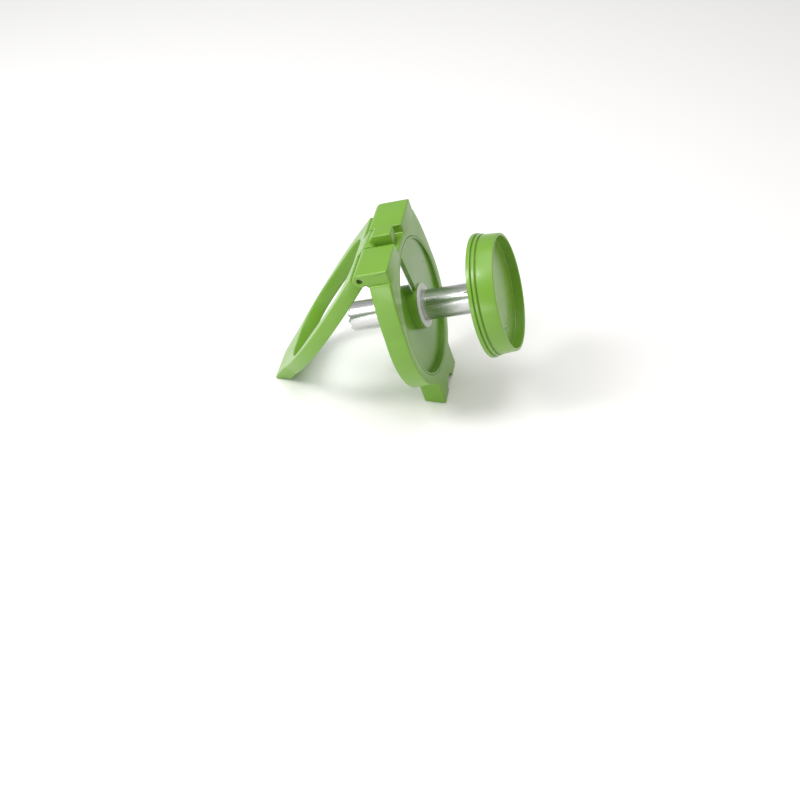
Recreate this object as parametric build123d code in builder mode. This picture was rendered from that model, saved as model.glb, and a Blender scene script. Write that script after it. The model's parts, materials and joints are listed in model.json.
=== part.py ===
"""Hand-twisted apple corer and spiral slicer: an A-frame with a bladed ring and a pusher.

World frame: +X points from the folding leg to the pusher, Y is the hinge axis, +Z is up.
The origin is the middle of the object's length and width, on the surface that it stands on.
All lengths are millimetres and all angles are degrees.
"""
from build123d import *
from math import cos, radians, sin, tan
import os

os.makedirs("parts", exist_ok=True)

# ---------------------------------------------------------------- stance
RING_TILT = 17.5          # the ring leans back from the vertical by this much
LEG_LEAN = 29.5           # the leg leans the other way
HINGE_TO_CENTRE = 49.0    # hinge axis to the ring's centre, in the plane of the ring
FOOT_DROP = 60.0          # ring's centre to the floor, in the plane of the ring
LEG_GAP = 0.5             # folded leg to the ring's back face

# ---------------------------------------------------------------- ring frame
RING_DEPTH = 13.0
RING_OUTER_R = 49.5
RING_BORE_R = 43.4        # pocket for the slicing disc
LEDGE_WIDTH = 4.2         # the ledge behind the disc
SHOULDER_Y = 41.0         # half width of the shoulder under the hinge
SHOULDER_U = 45.0         # height of the shoulder above the ring's centre
SHOULDER_BOW = 1.75       # how far the shoulder bows out from a straight line
SHOULDER_ANGLE = 12.0     # where the shoulder leaves the round ring
FOOT_HALF_WIDTH = 21.0
ARCH_HALF_WIDTH = 7.5     # arch between the two toes of the foot
ARCH_RISE = 4.0

# ---------------------------------------------------------------- hinge
LUG_HALF_SPAN = 40.0      # outer end of each lug
LUG_INNER = 10.5          # inner end of each lug
BARREL_R = 4.4
KNUCKLE_SIDE_GAP = 1.2
HEEL_REACH = 15.0         # stop heel, from the hinge axis towards the pusher
HEEL_TOP = 8.0            # top of the heel above the hinge axis
HEEL_HALF_WIDTH = 4.8
HEEL_BACK = 3.5           # back of the heel, from the hinge axis towards the pusher
SEAT_DROP = 1.5           # seat of the heel on the ring, below the hinge axis
BARREL_RELIEF = 0.8       # clearance of the knuckle in the ring
STOP_GAP = 0.15
PIN_R = 1.75
PIN_RUNNING_GAP = 0.06
PIN_RECESS = 2.5          # each end of the pin below the face of its lug

# ---------------------------------------------------------------- leg
LEG_THICK = 9.0
LEG_TOP = 6.1             # top edge of the plate below the hinge axis
LEG_TOP_HALF = 35.0
LEG_MAX_HALF = 41.0
LEG_MAX_AT = 46.0         # distance from the hinge axis to the widest place
LEG_ANKLE_HALF = 21.0
LEG_ANKLE_AT = 100.0
LEG_TOE_HALF = 14.0
WINDOW_HALF_WIDTH = 31.0
WINDOW_HALF_LENGTH = 39.5
WINDOW_CORNER_R = 25.0
WINDOW_AT = 51.5          # centre of the opening, from the hinge axis

# ---------------------------------------------------------------- rubber pads
PAD_THICK = 1.8
PAD_MARGIN = 2.2
PAD_PROUD = 0.4           # how far the pads stand out of the plastic

# ---------------------------------------------------------------- slicing disc
SLICE_PITCH = 6.5         # fall of the ramp in one turn: the thickness of a slice
RAMP_THICK = 2.6
DISC_FIT = 0.15           # radial gap between disc and pocket
DISC_WALL = 1.3
HUB_WALL = 2.2
HUB_SETBACK = 0.5         # hub's end below the ring's back face
SLOT_AT = 101.0           # direction of the blade's slot, turned from world Y
SLOT_ANGLE = 16.0
BOSS_R = 2.4
BOSS_TURNS = (0.25, 0.58, 0.92)   # places of the screw bosses, in turns of the ramp

# ---------------------------------------------------------------- blade
BLADE_THICK = 0.8
BLADE_SEAT = 9.5          # width of the blade under the ramp's end
BLADE_SHOWS = 3.2         # width of the blade in the slot
BLADE_BEVEL = 1.8
BLADE_ROOF = 1.7          # plastic above the blade
BLADE_END_GAP = 0.3
POCKET_SPARE = 2.3        # room below the rivet heads, down to the ramp's deep end
RIVET_R = 1.1
RIVET_HEAD_R = 2.0
RIVET_HEAD = 0.6
RIVET_INSETS = (22.4, 7.4)        # distances inward from the ring's bore

# ---------------------------------------------------------------- core tube and its guide
TUBE_R = 9.5
TUBE_WALL = 0.6
TUBE_FIT = 0.05           # running fit in the guide sleeve
SLEEVE_FIT = 0.05         # running fit in the hub
SLEEVE_WALL = 2.4
SLEEVE_FLANGE = 1.7       # radial width of the flange
SLEEVE_FLANGE_THICK = 1.2
SLEEVE_END_GAP = 0.15
CLIP_THICK = 1.2
CLIP_REACH = 1.6
CLIP_BITE = 0.5           # depth of the sleeve's groove
CLIP_MOUTH = 3.2
TUBE_TEETH = 12
TUBE_TOOTH_DEPTH = 1.6

# ---------------------------------------------------------------- pusher
PUSHER_GAP = 39.0         # from the ring's face to the pusher's flange, at rest
PUSHER_DEPTH = 16.0
FLANGE_R = 38.2
FLANGE_THICK = 3.2
COLLAR_R = 37.5
COLLAR_THICK = 2.6
GROOVE_DEPTH = 0.7
GROOVE_WIDTH = 0.7
DRUM_R = 36.9
DRUM_END_R = 36.1
RIM_WALL = 1.7
DISH_DEPTH = 6.4
FLOOR_THICK = 2.2
SKIRT_WALL = 3.2
SPIGOT_FIT = 0.15
SPIGOT_WALL = 2.0
SCREW_COUNT = 3
SCREW_R = 1.25
SCREW_HEAD_R = 2.3
SCREW_HEAD = 1.4
SCREW_RING_R = 26.0
SCREW_CLEARANCE = 0.2
SCREW_BOSS_R = 3.0
SCREW_BITE = 3.6          # thread length in plastic
DISC_SCREW_BITE = 2.2
PRONG_COUNT = 4
PRONG_R = 1.2
PRONG_RING_R = 17.5
PRONG_LENGTH = 8.0
PRONG_TIP = 3.5           # length of the point
PRONG_POINT_R = 0.12      # blunt end of the point
TUBE_REACH = 86.0         # from the pusher's face to the tips of the teeth
TUBE_FLANGE_R = 13.0
TUBE_FLANGE_THICK = 0.8
TUBE_SEAT_FIT = 0.1
CLAMP_BORE_R = 6.0
CLAMP_GAP = 0.1

# ================================================================ sizes that follow others
RING_LEDGE_R = RING_BORE_R - LEDGE_WIDTH
HUB_OUTER_R = TUBE_R + TUBE_FIT + SLEEVE_WALL + SLEEVE_FIT + HUB_WALL
RIVET_PLACES = [RING_BORE_R - inset for inset in RIVET_INSETS]

# ================================================================ places
FACE_BACK = LEG_THICK / 2 + LEG_GAP                # ring's back face, from the hinge axis
FACE_FRONT = FACE_BACK + RING_DEPTH                # ring's front face, towards the pusher
FACE_MIDDLE = (FACE_BACK + FACE_FRONT) / 2

NORMAL = Vector(cos(radians(RING_TILT)), 0, sin(radians(RING_TILT)))
UPWARD = Vector(-sin(radians(RING_TILT)), 0, cos(radians(RING_TILT)))
ACROSS = Vector(0, 1, 0)
LEG_DOWN = Vector(-sin(radians(LEG_LEAN)), 0, -cos(radians(LEG_LEAN)))
LEG_OUT = Vector(-cos(radians(LEG_LEAN)), 0, sin(radians(LEG_LEAN)))

# the two ends of the object, from the middle of the ring's foot: they put the origin between them
hinge_rise = UPWARD * (FOOT_DROP + HINGE_TO_CENTRE) - NORMAL * FACE_MIDDLE
leg_face = hinge_rise + LEG_OUT * (LEG_THICK / 2)
toe_corner = leg_face + LEG_DOWN * ((leg_face.Z - PAD_PROUD) / cos(radians(LEG_LEAN)))
cap_along = FACE_FRONT - FACE_MIDDLE + PUSHER_GAP + PUSHER_DEPTH
cap_corner = UPWARD * (FOOT_DROP - DRUM_END_R) + NORMAL * cap_along

FOOT = Vector(-(toe_corner.X + cap_corner.X) / 2, 0, 0)
RING_CENTRE_MID = FOOT + UPWARD * FOOT_DROP        # ring's centre in its middle plane
HINGE = RING_CENTRE_MID + UPWARD * HINGE_TO_CENTRE - NORMAL * FACE_MIDDLE
RING_AXIS_0 = HINGE - UPWARD * HINGE_TO_CENTRE     # ring's axis beside the hinge axis


def ring_plane(along=0.0, turn=0.0):
    """Plane across the ring's axis: its x is world Y and its y is up the ring, before the turn."""
    x_dir = ACROSS * cos(radians(turn)) + UPWARD * sin(radians(turn))
    return Plane(origin=RING_AXIS_0 + NORMAL * along, x_dir=x_dir, z_dir=NORMAL)


def hinge_plane(along=0.0):
    """Plane square to the hinge axis at y = along: its x is the ring's normal."""
    return Plane(origin=HINGE + ACROSS * along, x_dir=NORMAL, z_dir=-ACROSS)


def leg_plane(along=0.0):
    """Plane of the leg: its x is world Y, its y is up the leg, its z faces the ring."""
    return Plane(origin=HINGE - LEG_OUT * along, x_dir=ACROSS, z_dir=LEG_OUT * -1)


def save(piece, label):
    """Name a finished piece and write it."""
    piece.part.label = label
    export_step(piece.part, f"parts/{label}.step")


def polar(radius, angle):
    """Point of a circle about the ring's axis."""
    return (radius * cos(radians(angle)), radius * sin(radians(angle)))


# ================================================================ ring frame
# The ring, its shoulders, the foot with two toes, and the two hinge lugs in one moulding.
lug_length = LUG_HALF_SPAN - LUG_INNER
shoulder_start = Vector(*polar(RING_OUTER_R, SHOULDER_ANGLE))
shoulder_end = Vector(SHOULDER_Y, SHOULDER_U)
shoulder_line = (shoulder_start - shoulder_end).normalized()
shoulder_out = Vector(-shoulder_line.Y, shoulder_line.X)
shoulder_mid = (shoulder_start + shoulder_end) / 2 + shoulder_out * SHOULDER_BOW
disc_height = SLICE_PITCH + RAMP_THICK
disc_back = FACE_FRONT - disc_height
foot_reach = FOOT_DROP + RING_DEPTH * tan(radians(RING_TILT))
boss_ring_r = RING_BORE_R - DISC_FIT - BOSS_R
ramp_span = 360 - SLOT_ANGLE


def ramp_angle(turns):
    """Direction of a place on the ramp: 0 turns is its deep end, 1 is its flush end."""
    return SLOT_AT + SLOT_ANGLE - 360 + turns * ramp_span


with BuildPart() as ring_frame:
    with BuildSketch(ring_plane(FACE_BACK)):
        Circle(RING_OUTER_R)
        with BuildLine():
            Line((0, SHOULDER_U), shoulder_end)
            ThreePointArc(shoulder_end, shoulder_mid, shoulder_start)
            Line(shoulder_start, (0, shoulder_start.Y))
            mirror(about=Plane.YZ)
        make_face()
        with Locations((0, -foot_reach / 2)):
            Rectangle(2 * FOOT_HALF_WIDTH, foot_reach)
    extrude(amount=RING_DEPTH)

    for side in (-1, 1):
        with BuildSketch(hinge_plane(side * LUG_INNER)):
            Circle(BARREL_R)
            with BuildLine():
                Polyline(
                    (0, BARREL_R),
                    (FACE_FRONT, BARREL_R),
                    (FACE_FRONT, SHOULDER_U - HINGE_TO_CENTRE - BARREL_R / 2),
                    (FACE_BACK, SHOULDER_U - HINGE_TO_CENTRE - BARREL_R / 2),
                    (FACE_BACK, -BARREL_R),
                    (0, 0),
                    close=True,
                )
            make_face()
        extrude(amount=-side * lug_length)

    # slot for the leg's knuckle, with the seat of its stop heel
    with BuildSketch(ring_plane(FACE_BACK)):
        with Locations((0, HINGE_TO_CENTRE - SEAT_DROP)):
            Rectangle(2 * LUG_INNER, 2 * BARREL_R + SEAT_DROP, align=(Align.CENTER, Align.MIN))
    extrude(amount=RING_DEPTH, mode=Mode.SUBTRACT)
    with BuildSketch(hinge_plane(LUG_INNER)):
        Circle(BARREL_R + BARREL_RELIEF)
    extrude(amount=2 * LUG_INNER, mode=Mode.SUBTRACT)

    # stepped bore: a pocket for the disc and the ledge behind it
    with BuildSketch(ring_plane(FACE_FRONT)):
        Circle(RING_BORE_R)
    extrude(amount=-disc_height, mode=Mode.SUBTRACT)
    with BuildSketch(ring_plane(FACE_BACK)):
        Circle(RING_LEDGE_R)
    extrude(amount=RING_DEPTH, mode=Mode.SUBTRACT)

    # screw holes through the ledge, with their heads sunk in the back face
    for turns in BOSS_TURNS:
        with BuildSketch(ring_plane(FACE_BACK)):
            with Locations(polar(boss_ring_r, ramp_angle(turns))):
                Circle(SCREW_R + SCREW_CLEARANCE)
        extrude(amount=disc_back - FACE_BACK, mode=Mode.SUBTRACT)
        with BuildSketch(ring_plane(FACE_BACK)):
            with Locations(polar(boss_ring_r, ramp_angle(turns))):
                Circle(SCREW_HEAD_R + SCREW_CLEARANCE)
        extrude(amount=SCREW_HEAD, mode=Mode.SUBTRACT)

    # arch of the foot, the bore of the hinge pin and the level underside
    with BuildSketch(ring_plane(FACE_BACK)):
        with Locations((0, -FOOT_DROP)):
            Ellipse(ARCH_HALF_WIDTH, ARCH_RISE)
    extrude(amount=RING_DEPTH, mode=Mode.SUBTRACT)
    with BuildSketch(hinge_plane(LUG_HALF_SPAN)):
        Circle(PIN_R)
    extrude(amount=2 * LUG_HALF_SPAN, mode=Mode.SUBTRACT)
    split(bisect_by=Plane.XY.offset(PAD_PROUD), keep=Keep.TOP)

    # sockets of the two rubber foot pads
    pad_x = RING_DEPTH - 2 * PAD_MARGIN
    pad_y = FOOT_HALF_WIDTH - ARCH_HALF_WIDTH - 2 * PAD_MARGIN
    pad_at = (FOOT_HALF_WIDTH + ARCH_HALF_WIDTH) / 2
    with BuildSketch(Plane(origin=FOOT)):
        with Locations((0, -pad_at), (0, pad_at)):
            Rectangle(pad_x, pad_y)
    extrude(amount=PAD_THICK, mode=Mode.SUBTRACT)
save(ring_frame, "ring_frame")

for name, side in (("foot_pad_near", -1), ("foot_pad_far", 1)):
    with BuildPart() as foot_pad:
        with BuildSketch(Plane(origin=FOOT)):
            with Locations((0, side * pad_at)):
                Rectangle(pad_x, pad_y)
        extrude(amount=PAD_THICK)
    save(foot_pad, name)

# ================================================================ hinge pin
with BuildPart() as hinge_pin:
    with BuildSketch(hinge_plane(LUG_HALF_SPAN - PIN_RECESS)):
        Circle(PIN_R)
    extrude(amount=2 * (LUG_HALF_SPAN - PIN_RECESS))
save(hinge_pin, "hinge_pin")

# ================================================================ folding leg
# A plate with a large opening, a narrow toe, and a knuckle whose heel is the stop.
knuckle_half = LUG_INNER - KNUCKLE_SIDE_GAP
toe_at = HINGE.Z / cos(radians(LEG_LEAN))
toe_end = toe_at + LEG_THICK
heel_seat = SEAT_DROP - STOP_GAP


def leg_outline():
    """Half outline of the plate, mirrored about its centre line."""
    with BuildLine() as half:
        Line((0, -LEG_TOP), (LEG_TOP_HALF, -LEG_TOP))
        ThreePointArc(
            (LEG_TOP_HALF, -LEG_TOP),
            (LEG_MAX_HALF, -LEG_MAX_AT),
            (LEG_ANKLE_HALF, -LEG_ANKLE_AT),
        )
        Polyline(
            (LEG_ANKLE_HALF, -LEG_ANKLE_AT),
            (LEG_TOE_HALF, -toe_at),
            (LEG_TOE_HALF, -toe_end),
            (0, -toe_end),
        )
        mirror(about=Plane.YZ)
    return half.line


plate_outline = leg_outline()

with BuildPart() as leg_plate:
    with BuildSketch(leg_plane(-LEG_THICK / 2)):
        add(plate_outline)
        make_face()
        with Locations((0, -WINDOW_AT)):
            RectangleRounded(
                2 * WINDOW_HALF_WIDTH,
                2 * WINDOW_HALF_LENGTH,
                WINDOW_CORNER_R,
                mode=Mode.SUBTRACT,
            )
    extrude(amount=LEG_THICK)
    with BuildSketch(leg_plane(-LEG_THICK / 2)):
        with Locations((0, -LEG_TOP)):
            Rectangle(2 * knuckle_half, 2 * LEG_TOP)
    extrude(amount=LEG_THICK)
    with BuildSketch(hinge_plane(knuckle_half)):
        Circle(BARREL_R)
    extrude(amount=2 * knuckle_half)
    with BuildSketch(hinge_plane(HEEL_HALF_WIDTH)):
        with BuildLine():
            Polyline(
                (0, -heel_seat),
                (0, BARREL_R),
                (HEEL_BACK, HEEL_TOP),
                (HEEL_REACH, HEEL_TOP),
                (HEEL_REACH, -heel_seat),
                close=True,
            )
        make_face()
    extrude(amount=2 * HEEL_HALF_WIDTH)
    with BuildSketch(hinge_plane(knuckle_half)):
        Circle(PIN_R + PIN_RUNNING_GAP)
    extrude(amount=2 * knuckle_half, mode=Mode.SUBTRACT)
    split(bisect_by=Plane.XY.offset(PAD_PROUD), keep=Keep.TOP)

    toe_x = HINGE.X - HINGE.Z * tan(radians(LEG_LEAN))
    toe_pad_plane = Plane(origin=(toe_x, 0, 0))
    toe_pad_x = LEG_THICK - 2 * PAD_MARGIN
    toe_pad_y = 2 * (LEG_TOE_HALF - PAD_MARGIN)
    with BuildSketch(toe_pad_plane):
        Rectangle(toe_pad_x, toe_pad_y)
    extrude(amount=PAD_THICK, mode=Mode.SUBTRACT)
save(leg_plate, "leg_plate")

with BuildPart() as toe_pad:
    with BuildSketch(toe_pad_plane):
        Rectangle(toe_pad_x, toe_pad_y)
    extrude(amount=PAD_THICK)
save(toe_pad, "toe_pad")

# ================================================================ slicing disc
# A ramp that falls by one slice in a turn, inside a rim and around a hub, with a slot
# where its two ends meet. The blade is riveted under the flush end.
hub_back = FACE_BACK + HUB_SETBACK
sleeve_r = TUBE_R + TUBE_FIT + SLEEVE_WALL
hub_bore_r = sleeve_r + SLEEVE_FIT
disc_r = RING_BORE_R - DISC_FIT
rim_inner_r = disc_r - DISC_WALL
blade_top = FACE_FRONT - BLADE_ROOF
blade_plane = ring_plane(blade_top, SLOT_AT)


def ramp_solid():
    """Helical ramp: a strip between two helices, thickened along the ring's axis."""
    rise = SLICE_PITCH
    pitch = rise * 360 / ramp_span
    inner = Helix(pitch, rise, HUB_OUTER_R - DISC_WALL / 2)
    outer = Helix(pitch, rise, rim_inner_r + DISC_WALL / 2)
    strip = Face.make_surface_from_curves(inner.edge(), outer.edge())
    return Solid.extrude(strip, Vector(0, 0, RAMP_THICK))


ramp = ring_plane(disc_back, ramp_angle(0)).location * ramp_solid()

with BuildPart() as slicing_disc:
    with BuildSketch(ring_plane(disc_back)):
        Circle(disc_r)
        Circle(rim_inner_r, mode=Mode.SUBTRACT)
    extrude(amount=disc_height)
    with BuildSketch(ring_plane(hub_back)):
        Circle(HUB_OUTER_R)
        Circle(hub_bore_r, mode=Mode.SUBTRACT)
    extrude(amount=FACE_FRONT - hub_back)
    add(ramp)

    for turns in BOSS_TURNS:
        with BuildSketch(ring_plane(disc_back)):
            with Locations(polar(boss_ring_r, ramp_angle(turns))):
                Circle(BOSS_R)
        extrude(amount=turns * SLICE_PITCH + RAMP_THICK / 2)
        with BuildSketch(ring_plane(disc_back)):
            with Locations(polar(boss_ring_r, ramp_angle(turns))):
                Circle(SCREW_R)
        extrude(amount=DISC_SCREW_BITE, mode=Mode.SUBTRACT)

    # pocket for the blade under the ramp's flush end, and its rivet holes
    with BuildSketch(blade_plane):
        with Locations((HUB_OUTER_R, 0)):
            Rectangle(
                rim_inner_r - HUB_OUTER_R,
                BLADE_SEAT,
                align=(Align.MIN, Align.MAX),
            )
    extrude(amount=-(BLADE_THICK + RIVET_HEAD + POCKET_SPARE), mode=Mode.SUBTRACT)
    with BuildSketch(blade_plane):
        with Locations(*[(place, -BLADE_SEAT / 2) for place in RIVET_PLACES]):
            Circle(RIVET_R)
    extrude(amount=BLADE_ROOF, mode=Mode.SUBTRACT)
save(slicing_disc, "slicing_disc")

# ================================================================ blade and its rivets
blade_start = HUB_OUTER_R + BLADE_END_GAP
blade_length = rim_inner_r - HUB_OUTER_R - 2 * BLADE_END_GAP

with BuildPart() as slicing_blade:
    section = Plane(
        origin=blade_plane.from_local_coords((blade_start, 0, 0)),
        x_dir=blade_plane.y_dir,
        z_dir=blade_plane.x_dir,
    )
    with BuildSketch(section):
        with BuildLine():
            Polyline(
                (-BLADE_SEAT + BLADE_END_GAP, 0),
                (BLADE_SHOWS, 0),
                (BLADE_SHOWS - BLADE_BEVEL, -BLADE_THICK),
                (-BLADE_SEAT + BLADE_END_GAP, -BLADE_THICK),
                close=True,
            )
        make_face()
    extrude(amount=blade_length)
    with BuildSketch(blade_plane):
        with Locations(*[(place, -BLADE_SEAT / 2) for place in RIVET_PLACES]):
            Circle(RIVET_R)
    extrude(amount=-BLADE_THICK, mode=Mode.SUBTRACT)
save(slicing_blade, "slicing_blade")

with BuildPart() as blade_rivets:
    with BuildSketch(blade_plane.offset(-BLADE_THICK)):
        with Locations(*[(place, -BLADE_SEAT / 2) for place in RIVET_PLACES]):
            Circle(RIVET_R)
    extrude(amount=BLADE_THICK + BLADE_ROOF - SLICE_PITCH * BLADE_SEAT / 360)
    with BuildSketch(blade_plane.offset(-BLADE_THICK)):
        with Locations(*[(place, -BLADE_SEAT / 2) for place in RIVET_PLACES]):
            Circle(RIVET_HEAD_R)
    extrude(amount=-RIVET_HEAD)
save(blade_rivets, "blade_rivets")

with BuildPart() as disc_screws:
    for turns in BOSS_TURNS:
        with BuildSketch(ring_plane(FACE_BACK)):
            with Locations(polar(boss_ring_r, ramp_angle(turns))):
                Circle(SCREW_HEAD_R)
        extrude(amount=SCREW_HEAD)
        with BuildSketch(ring_plane(FACE_BACK)):
            with Locations(polar(boss_ring_r, ramp_angle(turns))):
                Circle(SCREW_R)
        extrude(amount=disc_back - FACE_BACK + DISC_SCREW_BITE)
save(disc_screws, "disc_screws")

# ================================================================ guide sleeve and clip
# The sleeve turns in the hub with the core tube, which slides in it.
sleeve_tail = CLIP_THICK + 2 * SLEEVE_END_GAP
sleeve_back = hub_back - sleeve_tail
sleeve_front = FACE_FRONT + SLEEVE_END_GAP
clip_front = hub_back - SLEEVE_END_GAP

with BuildPart() as guide_sleeve:
    with BuildSketch(ring_plane(sleeve_back)):
        Circle(sleeve_r)
    extrude(amount=sleeve_front - sleeve_back)
    with BuildSketch(ring_plane(sleeve_front)):
        Circle(sleeve_r + SLEEVE_FLANGE)
    extrude(amount=SLEEVE_FLANGE_THICK)
    with BuildSketch(ring_plane(clip_front)):
        Circle(sleeve_r)
        Circle(sleeve_r - CLIP_BITE, mode=Mode.SUBTRACT)
    extrude(amount=-CLIP_THICK, mode=Mode.SUBTRACT)
    with BuildSketch(ring_plane(sleeve_back)):
        Circle(TUBE_R + TUBE_FIT)
    extrude(amount=sleeve_front + SLEEVE_FLANGE_THICK - sleeve_back, mode=Mode.SUBTRACT)
save(guide_sleeve, "guide_sleeve")

with BuildPart() as sleeve_clip:
    with BuildSketch(ring_plane(clip_front)):
        Circle(sleeve_r + CLIP_REACH)
        Circle(sleeve_r - CLIP_BITE, mode=Mode.SUBTRACT)
        with Locations((0, sleeve_r)):
            Rectangle(CLIP_MOUTH, 3 * CLIP_REACH, mode=Mode.SUBTRACT)
    extrude(amount=-CLIP_THICK)
save(sleeve_clip, "sleeve_clip")

# ================================================================ pusher
# A base with a wide flange carries the prongs and the core tube, and a dished cap closes it.
push_face = FACE_FRONT + PUSHER_GAP
collar_end = FLANGE_THICK + COLLAR_THICK
floor_top = PUSHER_DEPTH - DISH_DEPTH
floor_under = floor_top - FLOOR_THICK
skirt_inner_r = DRUM_R - SKIRT_WALL
spigot_r = skirt_inner_r - SPIGOT_FIT
push_section = Plane(origin=RING_AXIS_0 + NORMAL * push_face, x_dir=ACROSS, z_dir=UPWARD * -1)
push_axis = Axis(RING_AXIS_0, NORMAL)


def push_plane(along=0.0):
    """Plane across the pusher, along its axis from the face that meets the fruit."""
    return ring_plane(push_face + along)


def on_ring(radius, count, start=0.0):
    """Places of a ring of equal features."""
    return [polar(radius, start + 360 * i / count) for i in range(count)]


screw_places = on_ring(SCREW_RING_R, SCREW_COUNT, 30)
prong_places = on_ring(PRONG_RING_R, PRONG_COUNT, 45)

with BuildPart() as pusher_base:
    with BuildSketch(push_section):
        with BuildLine():
            Polyline(
                (TUBE_R + TUBE_SEAT_FIT, 0),
                (FLANGE_R, 0),
                (FLANGE_R, FLANGE_THICK - GROOVE_WIDTH),
                (COLLAR_R - GROOVE_DEPTH, FLANGE_THICK - GROOVE_WIDTH),
                (COLLAR_R - GROOVE_DEPTH, FLANGE_THICK),
                (COLLAR_R, FLANGE_THICK),
                (COLLAR_R, collar_end - GROOVE_WIDTH),
                (DRUM_R - GROOVE_DEPTH, collar_end - GROOVE_WIDTH),
                (DRUM_R - GROOVE_DEPTH, collar_end),
                (spigot_r, collar_end),
                (spigot_r, floor_under - SPIGOT_FIT),
                (spigot_r - SPIGOT_WALL, floor_under - SPIGOT_FIT),
                (spigot_r - SPIGOT_WALL, FLANGE_THICK),
                (TUBE_R + TUBE_SEAT_FIT, FLANGE_THICK),
                close=True,
            )
        make_face()
    revolve(axis=push_axis)
    with BuildSketch(push_plane()):
        with Locations(*screw_places):
            Circle(SCREW_R + SCREW_CLEARANCE)
        with Locations(*prong_places):
            Circle(PRONG_R)
    extrude(amount=FLANGE_THICK, mode=Mode.SUBTRACT)
    with BuildSketch(push_plane()):
        with Locations(*screw_places):
            Circle(SCREW_HEAD_R + SCREW_CLEARANCE)
    extrude(amount=SCREW_HEAD, mode=Mode.SUBTRACT)
save(pusher_base, "pusher_base")

with BuildPart() as pusher_cap:
    with BuildSketch(push_section):
        with BuildLine():
            Polyline(
                (0, floor_under),
                (skirt_inner_r, floor_under),
                (skirt_inner_r, collar_end),
                (DRUM_R, collar_end),
                (DRUM_END_R, PUSHER_DEPTH),
                (DRUM_END_R - RIM_WALL, PUSHER_DEPTH),
                (DRUM_END_R - RIM_WALL, floor_top),
                (0, floor_top),
                close=True,
            )
        make_face()
    revolve(axis=push_axis)
    with BuildSketch(push_plane(FLANGE_THICK)):
        with Locations(*screw_places):
            Circle(SCREW_BOSS_R)
    extrude(amount=floor_under - FLANGE_THICK + FLOOR_THICK / 2)
    with BuildSketch(push_plane(FLANGE_THICK)):
        with Locations(*screw_places):
            Circle(SCREW_R)
    extrude(amount=SCREW_BITE, mode=Mode.SUBTRACT)
save(pusher_cap, "pusher_cap")

with BuildPart() as base_screws:
    with BuildSketch(push_plane()):
        with Locations(*screw_places):
            Circle(SCREW_HEAD_R)
    extrude(amount=SCREW_HEAD)
    with BuildSketch(push_plane()):
        with Locations(*screw_places):
            Circle(SCREW_R)
    extrude(amount=FLANGE_THICK + SCREW_BITE)
save(base_screws, "base_screws")

for number, place in enumerate(prong_places, start=1):
    with BuildPart() as prong:
        with BuildSketch(push_plane(FLANGE_THICK)):
            with Locations(place):
                Circle(PRONG_R)
        extrude(amount=-(FLANGE_THICK + PRONG_LENGTH))
        tip = prong.faces().sort_by(push_axis)[0]
        chamfer(tip.edges(), length=PRONG_TIP, length2=PRONG_R - PRONG_POINT_R)
    save(prong, f"prong_{number}")

# ================================================================ core tube and its clamp
with BuildPart() as core_tube:
    with BuildSketch(push_plane(FLANGE_THICK)):
        Circle(TUBE_R)
    extrude(amount=-(FLANGE_THICK + TUBE_REACH))
    with BuildSketch(push_plane(FLANGE_THICK)):
        Circle(TUBE_FLANGE_R)
    extrude(amount=TUBE_FLANGE_THICK)
    with BuildSketch(push_plane(-TUBE_REACH)):
        Circle(TUBE_R - TUBE_WALL)
    extrude(amount=TUBE_REACH + FLANGE_THICK + TUBE_FLANGE_THICK, mode=Mode.SUBTRACT)
    notch_half = TUBE_R * tan(radians(180 / TUBE_TEETH))
    for i in range(TUBE_TEETH // 2):
        across = ring_plane(push_face - TUBE_REACH, 360 * i / TUBE_TEETH)
        notch = Plane(origin=across.origin, x_dir=across.x_dir, z_dir=across.y_dir)
        with BuildSketch(notch):
            with BuildLine():
                Polyline(
                    (-notch_half, 0),
                    (0, TUBE_TOOTH_DEPTH),
                    (notch_half, 0),
                    close=True,
                )
            make_face()
        extrude(amount=2 * TUBE_R, both=True, mode=Mode.SUBTRACT)
save(core_tube, "core_tube")

with BuildPart() as tube_clamp:
    with BuildSketch(push_plane(FLANGE_THICK + TUBE_FLANGE_THICK)):
        Circle(TUBE_FLANGE_R)
        Circle(CLAMP_BORE_R, mode=Mode.SUBTRACT)
    extrude(amount=floor_under - FLANGE_THICK - TUBE_FLANGE_THICK - CLAMP_GAP)
save(tube_clamp, "tube_clamp")
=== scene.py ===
"""Looks for the apple corer and spiral slicer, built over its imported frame.

Local lengths are millimetres. `along` is measured on the ring's axis, from the point beside
the hinge axis towards the pusher. Every surface is a grid worked out with whole arrays.
"""

import json
import math

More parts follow.
